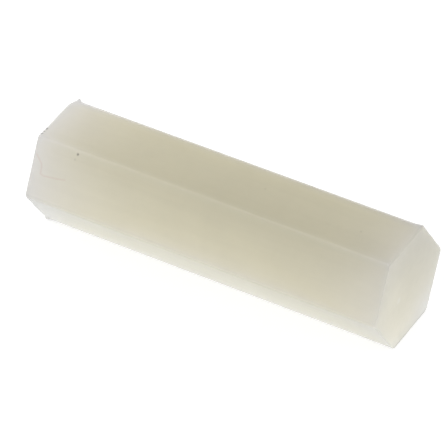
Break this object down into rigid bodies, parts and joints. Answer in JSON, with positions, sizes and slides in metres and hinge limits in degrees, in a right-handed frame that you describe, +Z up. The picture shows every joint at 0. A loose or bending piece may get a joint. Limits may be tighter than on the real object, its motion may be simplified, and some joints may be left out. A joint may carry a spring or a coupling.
{
  "type": "hex standoff",
  "caption": "Hexagonal natural nylon standoff with a blind metric threaded hole in one end and a plain closed face at the other.",
  "frame": {"origin": "centre of the flat that the standoff lies on", "axes": "+X along the bar from the threaded end to the closed end, +Z up and square to the resting flat, +Y across the bar"},
  "size_m": [0.02, 0.0062, 0.0055],
  "materials": {
    "natural_nylon": "natural unpigmented nylon, milky and slightly translucent, satin with faint machining marks"
  },
  "bodies": {
    "root": {"hex_standoff": "natural_nylon"}
  },
  "joints": []
}
